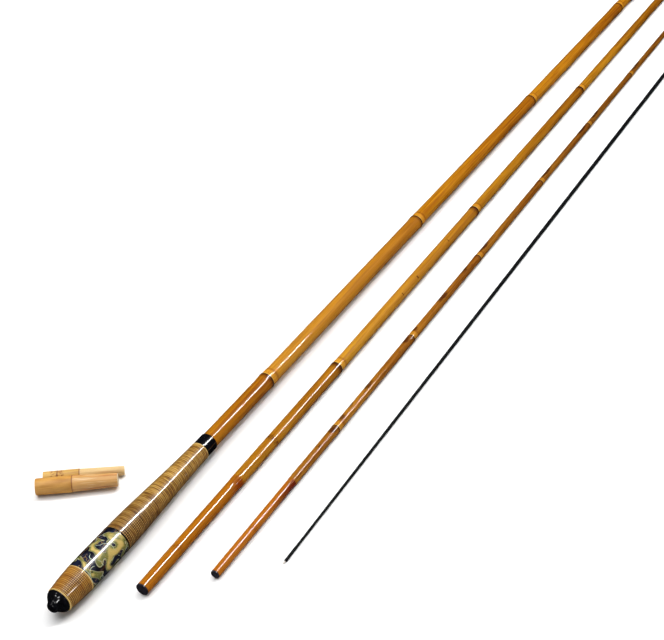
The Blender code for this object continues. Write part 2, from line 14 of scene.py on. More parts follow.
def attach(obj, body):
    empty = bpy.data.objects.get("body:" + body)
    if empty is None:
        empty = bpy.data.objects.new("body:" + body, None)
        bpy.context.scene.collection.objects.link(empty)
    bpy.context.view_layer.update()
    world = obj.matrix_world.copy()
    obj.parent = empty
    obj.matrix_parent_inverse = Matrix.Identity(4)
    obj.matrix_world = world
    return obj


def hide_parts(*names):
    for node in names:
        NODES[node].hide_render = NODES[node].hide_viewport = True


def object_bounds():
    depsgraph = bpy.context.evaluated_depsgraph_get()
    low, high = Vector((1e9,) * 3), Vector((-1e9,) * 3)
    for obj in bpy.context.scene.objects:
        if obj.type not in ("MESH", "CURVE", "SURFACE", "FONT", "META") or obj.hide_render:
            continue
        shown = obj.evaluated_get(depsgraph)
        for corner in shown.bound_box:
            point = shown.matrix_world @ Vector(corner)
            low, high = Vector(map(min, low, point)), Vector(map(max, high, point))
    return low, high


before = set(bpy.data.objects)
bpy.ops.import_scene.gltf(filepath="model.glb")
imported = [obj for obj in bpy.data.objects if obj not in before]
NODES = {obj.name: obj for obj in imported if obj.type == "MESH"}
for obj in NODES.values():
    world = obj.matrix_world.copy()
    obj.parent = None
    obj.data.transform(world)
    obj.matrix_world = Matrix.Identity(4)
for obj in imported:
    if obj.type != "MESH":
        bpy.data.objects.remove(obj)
CAD_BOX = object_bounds()
SCENE = bpy.context.scene

MM = 0.001

# The camera, solved from the photo: focal length in pixels, and the vanishing point of the butt section
FOCAL_PIXELS = 1200.0
VANISH_X = 846.0
VANISH_Y = 908.0
IMAGE_WIDTH = 664.0
SENSOR_WIDTH = 36.0
CAMERA_TURN = math.radians(0.11)
CAMERA_BACK = 0.33515
CAMERA_SIDE = 0.38775
CAMERA_HEIGHT = 0.60

LAMP_HEIGHT = 2.0
LINE_LAMP_HEIGHT = 1.99
FLOOR_HALF = 6.0
FLOOR_GAP = 0.02 * MM

# Heights on the sections, each from its own near end
CAP_TOP = 8.8 * MM
COLLAR_TOP = 0.1751
BUTT_LENGTH = 1.172
END_SEAL = 1.1 * MM
PLUG_HEAD = 25.3 * MM

PLUG_TURN = math.radians(-53.5)
LOWER_RIGHT = math.radians(-56.5)  # the side of the rods that faces the camera's lower right


# Shader nodes


class Shader:
    """A node material with short calls for the nodes that it is built from."""

    def __init__(self, name, roughness, coat=0.0, coat_roughness=0.03, specular=0.5):
        self.material = bpy.data.materials.new(name)
        self.material.use_nodes = True
        self.tree = self.material.node_tree
        self.surface = self.tree.nodes["Principled BSDF"]
        self.surface.inputs["Roughness"].default_value = roughness
        self.surface.inputs["Specular IOR Level"].default_value = specular
        self.surface.inputs["Coat Weight"].default_value = coat
        self.surface.inputs["Coat Roughness"].default_value = coat_roughness
        self.place = self.node("ShaderNodeTexCoord").outputs["Object"]
        axes = self.node("ShaderNodeSeparateXYZ", Vector=self.place)
        self.x, self.y, self.z = axes.outputs

    def node(self, kind, **inputs):
        made = self.tree.nodes.new(kind)
        for name, value in inputs.items():
            self.put(made.inputs[name], value)
        return made

    def put(self, socket, value):
        if isinstance(value, bpy.types.NodeSocket):
            self.tree.links.new(value, socket)
        elif isinstance(value, tuple) and len(value) == 3 and socket.type == "RGBA":
            socket.default_value = (*value, 1.0)
        else:
            socket.default_value = value

    def math(self, operation, first, second=0.0):
        made = self.node("ShaderNodeMath")
        made.operation = operation
        self.put(made.inputs[0], first)
        self.put(made.inputs[1], second)
        return made.outputs[0]

    def chain(self, operation, values):
        total = values[0]
        for value in values[1:]:
            total = self.math(operation, total, value)
        return total

    def add(self, *values):
        return self.chain("ADD", values)

    def times(self, *values):
        return self.chain("MULTIPLY", values)

    def step(self, value, low, high, start=0.0, end=1.0):
        """start below low and end above high, with a smooth change between them."""
        made = self.node("ShaderNodeMapRange")
        made.interpolation_type = "SMOOTHSTEP"
        for name, number in (("From Min", low), ("From Max", high), ("To Min", start), ("To Max", end)):
            made.inputs[name].default_value = number
        self.put(made.inputs["Value"], value)
        return made.outputs[0]

    def fall(self, value, low, high):
        """1 below low and 0 above high."""
        return self.step(value, low, high, 1.0, 0.0)

    def between(self, value, low, high, soft):
        """1 between low and high, falling to 0 over soft outside them."""
        return self.times(self.step(value, low - soft, low), self.fall(value, high, high + soft))

    def stretched(self, along, across):
        """The place on the piece, where small numbers draw a pattern out along the rod or across it."""
        made = self.node("ShaderNodeVectorMath")
        made.operation = "MULTIPLY"
        self.put(made.inputs[0], self.place)
        made.inputs[1].default_value = (across, across, along)
        return made.outputs[0]

    def noise(self, scale, detail=2.0, rough=0.5, warp=0.0, along=1.0, across=1.0):
        made = self.node("ShaderNodeTexNoise", Vector=self.stretched(along, across), Scale=scale,
                         Detail=detail, Roughness=rough, Distortion=warp)
        return made.outputs["Fac"]

    def cells(self, scale, random=1.0, along=1.0, across=1.0):
        place = self.stretched(along, across)
        return self.node("ShaderNodeTexVoronoi", Vector=place, Scale=scale, Randomness=random)

    def mix(self, first, second, *factors, blend="MIX"):
        """The second colour over the first, as far as the factors say together."""
        made = self.node("ShaderNodeMix")
        made.data_type = "RGBA"
        made.blend_type = blend
        # sockets 6 and 7 are the two colours
        self.put(made.inputs[0], self.times(*factors))
        self.put(made.inputs[6], first)
        self.put(made.inputs[7], second)
        return made.outputs[2]

    def darken(self, colour, tint, *factors):
        return self.mix(colour, tint, *factors, blend="MULTIPLY")

    def ramp(self, value, stops):
        made = self.node("ShaderNodeValToRGB")
        elements = made.color_ramp.elements
        while len(elements) < len(stops):
            elements.new(0.5)
        for element, (place, colour) in zip(elements, stops):
            element.position = place
            element.color = (*colour, 1.0)
        self.put(made.inputs["Fac"], value)
        return made.outputs["Color"]

    def mark(self, name):
        """A number that the mesh holds for each of its points."""
        made = self.node("ShaderNodeAttribute")
        made.attribute_name = name
        return made.outputs["Fac"]

    def angle(self):
        return self.math("ARCTAN2", self.y, self.x)

    def facing(self, angle):
        """How far the surface faces that way round the rod, from -1 to 1."""
        x = self.times(self.x, math.cos(angle))
        y = self.times(self.y, math.sin(angle))
        squares = self.add(self.times(self.x, self.x), self.times(self.y, self.y))
        return self.math("DIVIDE", self.add(x, y), self.math("SQRT", squares))

    def colour(self, value):
        self.put(self.surface.inputs["Base Color"], value)

    def roughness(self, value):
        self.put(self.surface.inputs["Roughness"], value)

    def bump(self, height, distance, strength, coat=False):
        made = self.node("ShaderNodeBump", Height=height, Distance=distance, Strength=strength)
        self.put(self.surface.inputs["Normal"], made.outputs[0])
        if coat:
            self.put(self.surface.inputs["Coat Normal"], made.outputs[0])


def srgb(red, green, blue):
    """A colour as seen on screen, 0 to 255, as the linear numbers that shaders take."""
    return tuple(c / 12.92 if c <= 0.04045 else ((c + 0.055) / 1.055) ** 2.4
                 for c in (red / 255, green / 255, blue / 255))


# Bamboo


def internode_colour(s, fibre, broad, light, deep):
    """Bamboo between its nodes: fibres, streaks, flecks and a slow change from node to node."""
    strand = s.noise(800.0, 2.0, along=0.004)
    tone = s.add(s.times(fibre, 0.40), s.times(strand, 0.35), s.times(broad, 0.45))
    colour = s.mix(light, deep, s.step(tone, 0.42, 0.80))
    streak = s.noise(700.0, 3.0, 0.6, along=0.022)
    colour = s.darken(colour, srgb(196, 166, 116), s.step(streak, 0.48, 0.64, 0.0, 0.70))
    # some internodes are paler and others duller, and each is darkest just before the next node
    grade = s.mark("grade")
    colour = s.mix(colour, srgb(212, 160, 66), s.step(grade, 0.0, 1.0, 0.0, 0.7))
    colour = s.darken(colour, srgb(206, 196, 186), s.fall(grade, -1.0, 0.0))
    colour = s.darken(colour, srgb(224, 208, 170), s.step(s.mark("climb"), 0.0, 1.1))
    # tiny dark flecks in the skin
    fleck = s.cells(420.0, along=0.30)
    few = s.step(fleck.outputs["Color"], 0.86, 0.90)
    spot = s.fall(fleck.outputs["Distance"], 0.10, 0.24)
    return s.darken(colour, srgb(120, 60, 25), spot, few, 0.55)


def heated_colour(s, colour, mottle, burn):
    """Brown blotches, the scorched spots that straightening over heat left, and a darkening towards the far
    end.
    """
    blotch = s.noise(260.0, 4.0, 0.65, 0.8, along=0.22)
    speckle = s.noise(900.0, 3.0, 0.6, along=0.55)
    cloud = s.add(s.times(blotch, 0.7), s.times(speckle, 0.3))
    colour = s.darken(colour, srgb(120, 62, 22), s.step(cloud, 0.50, 0.66), mottle)
    grain = s.noise(1100.0, 4.0, 0.65, 0.5, along=0.40)
    scorched = s.step(s.add(s.mark("scorch"), s.times(grain, 0.9)), 0.82, 1.15)
    colour = s.darken(colour, srgb(104, 48, 18), scorched, burn)
    return s.darken(colour, srgb(212, 208, 196), s.step(s.z, 0.15, 0.75, 0.0, 0.8))


def node_colour(s, colour, fibre, before, before_reach, band_share):
    """The nodes: dark before each ring, a thin line in it, a bright band past it, bud and groove."""
    ring = s.mark("ring")
    near = s.mark("near")
    # painted shade along the groove above each bud
    colour = s.darken(colour, srgb(175, 120, 60), s.mark("groove"), 0.35)
    # darker before a ring, where the sheath sat
    stop = s.fall(ring, 0.0, 0.15 * MM)
    uneven = s.add(0.65, s.times(fibre, 0.6))
    shade = s.step(ring, -before_reach, -0.4 * MM)
    colour = s.darken(colour, srgb(112, 52, 16), shade, stop, near, uneven, before)
    deepest = s.step(ring, -0.45 * before_reach, -0.3 * MM)
    colour = s.darken(colour, srgb(140, 84, 50), deepest, stop, near, 0.8 * before)
    # the bright band past it, with a pale rim that is partly the ring's own pale edge and partly a painted
    # highlight on it
    band = s.times(s.step(ring, 0.3 * MM, 1.0 * MM), s.fall(ring, 3.6 * MM, 7.5 * MM))
    band = s.times(band, s.step(ring, 0.1 * MM, 0.5 * MM), near)
    bright = s.mix(srgb(212, 150, 46), srgb(194, 128, 26), s.step(fibre, 0.3, 0.7))
    colour = s.mix(colour, bright, band, band_share)
    edge = s.add(ring, s.times(s.noise(500.0, 2.0), 0.35 * MM))
    rim = s.between(edge, 0.75 * MM, 1.25 * MM, 0.25 * MM)
    colour = s.mix(colour, srgb(238, 194, 98), rim, near, 0.9 * band_share)
    # the thin dark line between the two, broadened on the lower right by painted shade under the ring's step
    lower = s.step(s.facing(LOWER_RIGHT), -0.7, 0.7, 0.0, 0.8 * MM)
    start = s.step(s.add(edge, lower), -0.60 * MM, -0.20 * MM)
    end = s.fall(edge, 0.50 * MM, 0.75 * MM)
    colour = s.mix(colour, srgb(52, 18, 5), start, end, near, 0.95)
    ridge = s.between(ring, 6.2 * MM, 6.8 * MM, 1.6 * MM)
    colour = s.darken(colour, srgb(176, 112, 52), ridge, near, 0.50)
    return s.darken(colour, srgb(140, 70, 25), s.step(s.mark("bud"), 0.30, 0.75), 0.55)


def male_colour(s, colour, sanded, deep, tail):
    """A sanded male end, dark before the shoulder, and the brown traces of nodes that were sanded off."""
    grain = s.noise(1500.0, 4.0, 0.6, along=0.006)
    sanded_colour = s.mix(sanded, deep, s.step(grain, 0.35, 0.7))
    colour = s.mix(colour, sanded_colour, s.step(s.mark("male"), 0.45, 0.55))
    # the dark fade before the shoulder, made strongest on the lower right by painted shade
    side = s.step(s.facing(LOWER_RIGHT), -0.9, 0.5, 0.10, 1.0)
    colour = s.darken(colour, tail, s.step(s.mark("fade"), 0.0, 1.0), side)
    scar = s.noise(900.0, 4.0, 0.7, 0.8, along=0.5)
    return s.darken(colour, srgb(112, 54, 20), s.mark("scar"), s.step(scar, 0.45, 0.53), 0.9)


def bamboo_skin(name, light, deep, before, before_reach, band_share=0.7, heat=None, male=None, specks=(),
                shine=1.0):
    """Lacquered bamboo skin. The marks on its mesh, such as ring and bud, say where its nodes are."""
    s = Shader(name, roughness=0.40, coat=shine, coat_roughness=0.03, specular=0.05)
    fibre = s.noise(2300.0, 4.0, 0.6, along=0.010)
    broad = s.noise(150.0, 2.0, along=0.10)
    colour = internode_colour(s, fibre, broad, light, deep)
    if heat:
        colour = heated_colour(s, colour, *heat)
    colour = node_colour(s, colour, fibre, before, before_reach, band_share)
    for height, side, size in specks:
        along = s.between(s.z, height - size, height + size, 0.4 * MM)
        across = s.step(s.facing(math.radians(side)), 0.93, 0.99)
        colour = s.darken(colour, srgb(110, 55, 22), along, across, 0.85)
    if male:
        colour = male_colour(s, colour, *male)
    s.colour(colour)
    s.roughness(s.step(fibre, 0.2, 0.8, 0.34, 0.50))
    s.bump(s.add(s.times(fibre, 0.6), s.times(broad, 2.0)), 0.010 * MM, 0.35)
    return s.material


def raw_bamboo(name, head, head_deep, cut, cut_deep, has_node):
    """Bare bamboo: skin on the head, and whittled pale wood with lengthwise fibres on the spigot."""
    s = Shader(name, roughness=0.50)
    fibre = s.noise(1900.0, 5.0, 0.62, along=0.035)
    strand = s.noise(560.0, 3.0, 0.6, along=0.030)
    broad = s.noise(180.0, 2.0, along=0.4)
    tone = s.add(s.times(fibre, 0.5), s.times(broad, 0.5))
    head_colour = s.mix(head, head_deep, s.step(tone, 0.35, 0.7))
    vein = s.step(s.add(s.times(strand, 0.75), s.times(fibre, 0.25)), 0.50, 0.66)
    cut_colour = s.mix(cut, cut_deep, vein, 0.85)
    pale = s.step(s.noise(900.0, 3.0, along=0.022), 0.56, 0.68)
    cut_colour = s.mix(cut_colour, srgb(232, 210, 168), pale, 0.6)
    past_head = s.step(s.z, PLUG_HEAD - 0.1 * MM, PLUG_HEAD + 0.1 * MM)
    colour = s.mix(head_colour, cut_colour, past_head)
    score = s.between(s.z, PLUG_HEAD - 0.35 * MM, PLUG_HEAD + 0.15 * MM, 0.25 * MM)
    colour = s.darken(colour, srgb(150, 96, 52), score, 0.7)
    if has_node:
        ring = s.mark("ring")
        grime = s.noise(900.0, 4.0, 0.7, 0.6, along=0.6)
        stain = s.between(ring, -3.4 * MM, 3.0 * MM, 2.4 * MM)
        colour = s.darken(colour, srgb(160, 92, 50), stain, s.step(grime, 0.42, 0.60), 0.85)
        line = s.between(ring, -0.25 * MM, 0.25 * MM, 0.25 * MM)
        colour = s.darken(colour, srgb(125, 62, 30), line, 0.8)
    pores = s.cells(2600.0).outputs["Distance"]
    face = s.mix(srgb(170, 130, 84), srgb(240, 222, 186), s.step(pores, 0.15, 0.45))
    s.colour(s.mix(colour, face, s.mark("end")))
    s.roughness(s.step(s.z, PLUG_HEAD - 0.3 * MM, PLUG_HEAD + 0.3 * MM, 0.36, 0.58))
    s.bump(s.add(s.times(fibre, 0.7), s.times(strand, 0.6)), 0.05 * MM, 0.6)
    return s.material


# Windings, band, lacquer and cord


def winding(name, pitch, strips, tones, gap_share, lattice_low, lattice_ends, lattice_rest, near_band=None):
    """Fine cane or thread wound round the grip, in uneven tan and brown turns under clear lacquer."""
    s = Shader(name, roughness=0.30, coat=1.0, coat_roughness=0.05, specular=0.25)
    drift = s.times(s.noise(60.0, 1.0), pitch * 0.9)
    turn = s.math("DIVIDE", s.add(s.z, drift), pitch)
    crown = s.math("SINE", s.times(s.math("FRACT", turn), math.pi))
    streak = s.noise(1600.0, 3.0, 0.70, across=0.035)
    wide = s.noise(150.0, 2.0, across=0.16)
    patch = s.noise(330.0, 4.0, 0.65, along=0.8, across=0.5)
    tone = s.add(s.times(streak, 0.95), s.times(wide, 0.12), s.times(patch, 0.13))
    gap = s.fall(crown, 0.25, 0.80)
    colour = s.darken(s.ramp(tone, tones), srgb(120, 74, 34), gap, gap_share)
    if near_band:
        colour = s.darken(colour, near_band, s.step(s.z, 0.085, 0.118, 0.85, 0.0))
    # lengthwise ridges of the core, which with the turns show as a lattice on one side only, with painted
    # shade in its grooves and a painted highlight on its crests
    ridges = s.math("ABSOLUTE", s.math("SINE", s.times(s.angle(), strips / 2)))
    side = s.step(s.facing(LOWER_RIGHT), lattice_low, lattice_low + 0.7)
    uneven = s.step(s.noise(170.0, 3.0, 0.6), 0.34, 0.52, 0.25, 1.0)
    shown = s.times(side, s.step(s.z, *lattice_ends, 1.0, lattice_rest), uneven)
    lines = s.times(s.math("MAXIMUM", s.fall(ridges, 0.20, 0.75), gap), shown)
    colour = s.darken(colour, srgb(82, 38, 8), lines, 0.96)
    # painted highlight on the crests of the lattice
    crest_highlight = s.times(s.step(ridges, 0.70, 0.95), s.step(crown, 0.70, 0.95), shown)
    s.colour(s.mix(colour, srgb(226, 184, 108), crest_highlight, 0.75))
    s.roughness(s.step(crown, 0.0, 1.0, 0.42, 0.28))
    s.bump(s.add(s.times(crown, 0.7), s.times(lines, -0.7)), 0.05 * MM, 0.6)
    return s.material


def painted_band(name):
    """Cream and pale green shapes on navy black, with thin arcs, hatching and gold dust, under lacquer."""
    s = Shader(name, roughness=0.25, coat=1.0, coat_roughness=0.02)
    flow = s.noise(120.0, 1.0, 0.4, 0.6)
    cloud = s.noise(98.0, 1.0, 0.35, 1.0, across=0.75)
    shape = s.step(cloud, 0.520, 0.535)
    cream = s.mix(srgb(116, 120, 60), srgb(198, 172, 98), s.step(cloud, 0.53, 0.66))
    mottled = s.noise(1500.0, 3.0, 0.6)
    cream = s.darken(cream, srgb(165, 165, 110), s.step(mottled, 0.45, 0.75, 0.0, 0.35))
    ground = s.mix(srgb(14, 15, 24), srgb(28, 34, 56), s.step(flow, 0.4, 0.6))
    colour = s.mix(ground, cream, shape)
    rim = s.times(s.step(cloud, 0.500, 0.512), s.fall(cloud, 0.515, 0.527))
    colour = s.mix(colour, srgb(196, 192, 138), rim, 0.7)
    hatch = s.math("SINE", s.times(s.add(s.angle(), s.times(flow, 1.6)), 90.0))
    zone = s.between(cloud, 0.540, 0.580, 0.012)
    colour = s.mix(colour, srgb(48, 52, 40), s.step(hatch, 0.2, 0.8), zone, 0.85)
    rings = s.cells(105.0, 0.9, across=0.9).outputs["Distance"]
    arcs = s.math("ABSOLUTE", s.math("SUBTRACT", s.math("FRACT", s.times(rings, 2.6)), 0.5))
    thin = s.times(s.fall(arcs, 0.018, 0.040), s.step(flow, 0.46, 0.52), s.step(rings, 0.32, 0.36))
    colour = s.mix(colour, srgb(198, 210, 178), thin, 0.85)
    dust = s.cells(1300.0).outputs["Distance"]
    gold = s.fall(dust, 0.20, 0.35)
    s.colour(s.mix(colour, srgb(206, 160, 62), gold, s.step(flow, 0.56, 0.62), 0.8))
    s.bump(s.add(s.times(shape, 0.4), s.times(thin, 0.5)), 0.03 * MM, 0.4)
    return s.material


def lacquer(name, tint, threads=0.0, crown_highlight=0.0, dull=0.0):
    """Deep lacquer, with the turns of the thread under it faintly raised where threads gives their pitch,
    and a painted highlight on their crowns.
    """
    s = Shader(name, roughness=0.22 + 0.4 * dull, coat=1.0 - 0.9 * dull, coat_roughness=0.03 + 0.3 * dull,
               specular=0.10 - 0.07 * dull)
    haze = s.noise(240.0, 3.0)
    dust = s.noise(3000.0, 2.0)
    colour = s.mix(tint, tuple(c * 1.6 + 0.001 for c in tint), s.step(haze, 0.3, 0.7))
    if threads:
        turn = s.math("FRACT", s.math("DIVIDE", s.z, threads))
        crown = s.math("SINE", s.times(turn, math.pi))
        # painted highlight on the crowns of the turns
        lit = tuple(c * 2.2 + crown_highlight for c in tint)
        colour = s.mix(colour, lit, s.step(crown, 0.4, 1.0), 0.6)
        s.bump(s.add(crown, s.times(dust, 0.2)), 0.03 * MM, 0.5, coat=not dull)
    else:
        s.bump(s.add(haze, s.times(dust, 0.15)), 0.012 * MM, 0.3)
    s.colour(colour)
    s.roughness(s.step(dust, 0.3, 0.8, 0.16 + 0.4 * dull, 0.30 + 0.4 * dull))
    return s.material


def gold_line(name):
    s = Shader(name, roughness=0.32, coat=1.0, coat_roughness=0.04)
    grain = s.noise(2600.0, 3.0, along=3.0)
    s.colour(s.mix(srgb(216, 176, 92), srgb(236, 204, 132), s.step(grain, 0.3, 0.7)))
    s.bump(grain, 0.02 * MM, 0.6)
    return s.material


def cord_look(name):
    s = Shader(name, roughness=0.75)
    fuzz = s.noise(6000.0, 3.0)
    s.colour(s.mix(srgb(206, 198, 186), srgb(168, 156, 142), s.step(fuzz, 0.3, 0.7)))
    s.bump(fuzz, 0.02 * MM, 0.7)
    return s.material


def core_look(name):
    s = Shader(name, roughness=0.8)
    fibre = s.noise(1200.0, 4.0, 0.6, along=0.1)
    s.colour(s.mix(srgb(168, 132, 92), srgb(128, 92, 58), s.step(fibre, 0.3, 0.7)))
    s.bump(fibre, 0.05 * MM, 0.6)
    return s.material


# Places and outlines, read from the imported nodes


def section_frame(node, start=0.0, guess=(1, 0, 0)):
    """The frame of a section: its Z runs along that node's axis, and is start at the node's near end."""
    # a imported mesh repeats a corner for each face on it, so every place counts once
    places = {tuple(round(c, 7) for c in vertex.co) for vertex in NODES[node].data.vertices}
    points = [Vector(place) for place in sorted(places)]
    along = Vector(guess).normalized()
    # each round finds the axis better from the middles of the two ends
    for _ in range(3):
        depths = [point.dot(along) for point in points]
        low, high = min(depths) + 0.1 * MM, max(depths) - 0.1 * MM
        near = [point for point, depth in zip(points, depths) if depth < low]
        far = [point for point, depth in zip(points, depths) if depth > high]
        near_middle = sum(near, Vector()) / len(near)
        far_middle = sum(far, Vector()) / len(far)
        along = (far_middle - near_middle).normalized()
    side = Vector((0.0, 0.0, 1.0)).cross(along).normalized()
    down = side.cross(along)
    turn = Matrix((down, side, along)).transposed().to_4x4()
    return Matrix.Translation(near_middle - along * start) @ turn


def outline_of(node, place):
    """The node's outer outline as sorted (height, radius) pairs."""
    back = place.inverted()
    widest = {}
    for vertex in NODES[node].data.vertices:
        point = back @ vertex.co
        height = round(point.z, 5)
        widest[height] = max(widest.get(height, 0.0), math.hypot(point.x, point.y))
    return sorted(widest.items())


def curve_through(marks):
    """A smooth curve through (height, radius) marks, as a function of height."""
    slopes = []
    for i in range(len(marks)):
        low, high = marks[max(i - 1, 0)], marks[min(i + 1, len(marks) - 1)]
        slopes.append((high[1] - low[1]) / (high[0] - low[0]))

    def radius(height):
        if height <= marks[0][0]:
            return marks[0][1]
        if height >= marks[-1][0]:
            return marks[-1][1]
        i = max(place for place, mark in enumerate(marks) if mark[0] <= height)
        (low, start), (high, end) = marks[i], marks[i + 1]
        span = high - low
        share = (height - low) / span
        bend = share * (1.0 - share) * span
        curve = start + (end - start) * share**2 * (3.0 - 2.0 * share)
        return curve + bend * ((1.0 - share) * slopes[i] - share * slopes[i + 1])

    return radius


def spread(low, high, count):
    return [low + (high - low) * i / count for i in range(count + 1)]


def clamp(value, low, high):
    return max(low, min(high, value))


def quarter(count):
    """(sine, cosine) pairs from 0 to 90 degrees."""
    return [(math.sin(angle), math.cos(angle)) for angle in spread(0.0, math.pi / 2, count)]


# Meshes


def skin(name, rings, sides, place, look, body, node, closed=False, marks=None, sharp=40.0):
    """Skins rings of (radius at an angle, height). A closed one joins its last ring to its first."""
    marks = marks or {}
    points = []
    values = {mark: [] for mark in marks}
    for radius_at, height in rings:
        for i in range(sides):
            angle = math.tau * i / sides
            radius = radius_at(angle) if callable(radius_at) else radius_at
            points.append((radius * math.cos(angle), radius * math.sin(angle), height))
            for mark, value_at in marks.items():
                values[mark].append(value_at(angle, height))
    faces = []
    count = len(rings)
    for row in range(count if closed else count - 1):
        lower, upper = row * sides, (row + 1) % count * sides
        for i in range(sides):
            j = (i + 1) % sides
            faces.append((lower + i, lower + j, upper + j, upper + i))
    if not closed:
        faces.append(tuple(range(sides - 1, -1, -1)))
        faces.append(tuple(range((count - 1) * sides, count * sides)))
    mesh = bpy.data.meshes.new(name)
    mesh.from_pydata(points, [], faces)
    for mark, numbers in values.items():
        layer = mesh.attributes.new(mark, "FLOAT", "POINT")
        layer.data.foreach_set("value", numbers)
    mesh.update()
    mesh.shade_smooth()
    mesh.set_sharp_from_angle(angle=math.radians(sharp))
    settle(name, mesh, place, look, body, node)


def settle(name, data, place, look, body, node):
    """Puts a piece in its section's frame, on its body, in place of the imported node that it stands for."""
    data.materials.append(look)
    piece = bpy.data.objects.new(name, data)
    SCENE.collection.objects.link(piece)
    piece.matrix_world = place
    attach(piece, body)
    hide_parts(node)


def sleeve_rings(outer, bottom, top, wall, ease, count):
    """Rings down the outside of a tube with eased edges, then up its inside."""
    rings = [(outer(top) - ease * (1 - sine), top - ease * (1 - cosine)) for sine, cosine in quarter(4)]
    rings += [(outer(height), height) for height in spread(top - ease, bottom + ease, count)[1:-1]]
    rings += [(outer(bottom) - ease * (1 - cosine), bottom + ease * (1 - sine))
              for sine, cosine in quarter(4)]
    rings += [(outer(height) - wall, height) for height in spread(bottom, top, max(count // 4, 1))]
    return rings


def straight_sleeve(name, node, place, body, look, wall, ease, count, sides):
    """A sleeve that is as wide all along as the node is at its widest."""
    marks = outline_of(node, place)
    widest = max(radius for _, radius in marks)
    rings = sleeve_rings(lambda height: widest, marks[0][0], marks[-1][0], wall, ease, count)
    skin(name, rings, sides, place, look, body, node, closed=True)


# Bamboo culms

# Millimetres from a node to each ring of its mesh, closest where its shape bends most
NODE_MARKS = (
    -60, -40, -26, -18, -13, -10, -7.5, -5.5, -4, -3, -2.2, -1.6, -1.1, -0.7, -0.4, -0.2, 0, 0.15, 0.3,
    0.5, 0.8, 1.3, 2, 3, 4, 5, 6, 7, 8, 9, 10.5, 12.5, 15, 19, 25, 33, 44, 62,
)
RING_STEP = 0.016  # about how far apart the other rings lie
LEAST_STEP = 0.09 * MM

# A node's swelling, dip and ridge: their rises are shares of the radius, their places are past the ring
SWELL = 0.085
SWELL_END = -0.0004
SWELL_LENGTH = 0.0055
DIP = 0.025
DIP_START = 0.0003
DIP_LENGTH = 0.0016
RIDGE = 0.036
RIDGE_PLACE = 0.0062
RIDGE_WIDTH = 0.0033
SANDED_SHARE = 0.12  # what sanding left of a node

BUD = 0.050
BUD_LENGTH = 0.0038
BUD_END = 0.012
BUD_POINT = 0.016
BUD_HALF = math.radians(26.0)
GROOVE_EASE = 0.006
GROOVE_END = 0.062
GROOVE_HALF = math.radians(34.0)

UNEVEN = 0.002  # how far a culm is from round, as a share of its radius
RING_RANGE = 0.03
NEAR_END = 0.025
NEAR_FADE = 0.010
FIRST_INTERNODE = 0.26
LAST_INTERNODE = 0.28


def hump(angle, centre, width):
    away = abs((angle - centre + math.pi) % math.tau - math.pi)
    return 0.0 if away >= width else math.cos(away / width * math.pi / 2) ** 2


@dataclass
class Bamboo:
    """The surface of one culm: (height, radius) marks, and nodes with their rings, buds and grooves."""

    marks: tuple
    nodes: tuple
    grades: tuple
    sanded: tuple = ()  # the nodes that were sanded off
    male: float = 0.0  # how long the sanded male end is

    def taper(self, height):
        for (low, start), (high, end) in zip(self.marks, self.marks[1:]):
            if height <= high:
                return start + (end - start) * (height - low) / (high - low)
        return self.marks[-1][1]

    def node_shape(self, distance):
        """The rise of a node as a share of the radius, at that many metres past its ring."""
        if distance <= SWELL_END:
            return SWELL * math.exp((distance - SWELL_END) / SWELL_LENGTH)
        if distance <= 0.0:
            return SWELL
        if distance <= DIP_START:
            return SWELL - (SWELL + DIP) * distance / DIP_START
        dip = -DIP * math.exp((DIP_START - distance) / DIP_LENGTH)
        return dip + RIDGE * math.exp(-(((distance - RIDGE_PLACE) / RIDGE_WIDTH) ** 2))

    def buds_below(self, height, reach):
        """The distance and side of each bud below that height. Buds change sides from node to node."""
        for index, node in enumerate(self.nodes):
            if 0.0 < height - node < reach:
                yield height - node, LOWER_RIGHT + math.pi * (index + 1)

    def bud(self, angle, height):
        total = 0.0
        for distance, side in self.buds_below(height, BUD_END):
            width = BUD_HALF * (1.0 - distance / BUD_POINT)
            total += math.exp(-((distance / BUD_LENGTH) ** 2)) * hump(angle, side, width)
        return total

    def groove(self, angle, height):
        total = 0.0
        for distance, side in self.buds_below(height, GROOVE_END):
            along = min(distance / GROOVE_EASE, 1.0) * (1.0 - distance / GROOVE_END)
            total += along * hump(angle, side, GROOVE_HALF)
        return total

    def ring(self, angle, height):
        """How far that height is past the nearest ring."""
        nearest = min((height - node for node in self.nodes), key=abs)
        return clamp(nearest, -RING_RANGE, RING_RANGE)

    def near(self, angle, height):
        """1 close to a node, 0 from 25 mm away on."""
        nearest = min(abs(height - node) for node in self.nodes)
        return clamp((NEAR_END - nearest) / NEAR_FADE, 0.0, 1.0)

    def climb(self, angle, height):
        """0 just past a node, rising to 1 just before the next one."""
        stops = (self.nodes[0] - FIRST_INTERNODE, *self.nodes, self.nodes[-1] + LAST_INTERNODE)
        for low, high in zip(stops, stops[1:]):
            if height < high:
                return max(0.0, (height - low) / (high - low))
        return 1.0

    def grade(self, angle, height):
        """How pale (up to 1) or dull (down to -1) the internode at that height is."""
        return self.grades[sum(height > node for node in self.nodes)]

    def radius(self, angle, height):
        rise = sum(self.node_shape(height - node) for node in self.nodes)
        rise += sum(SANDED_SHARE * self.node_shape(height - node) for node in self.sanded)
        rise += BUD * self.bud(angle, height) - BUD * self.groove(angle, height)
        if height > self.male + 2.0 * MM:
            sway = math.sin(height * 31.0 + 1.7 * math.cos(angle))
            rise += UNEVEN * sway * math.cos(angle * 2 + height * 9.0)
        return self.taper(height) * (1.0 + rise)

    def heights(self):
        low, high = self.marks[0][0], self.marks[-1][0]
        found = set(spread(low, high, int((high - low) / RING_STEP)))
        found |= {height for height, _ in self.marks}
        for node in (*self.nodes, *self.sanded):
            found |= {node + offset * MM for offset in NODE_MARKS}
        inside = sorted(height for height in found if low <= height <= high)
        kept = [inside[0]]
        for height in inside[1:]:
            if height - kept[-1] > LEAST_STEP:
                kept.append(height)
        return kept


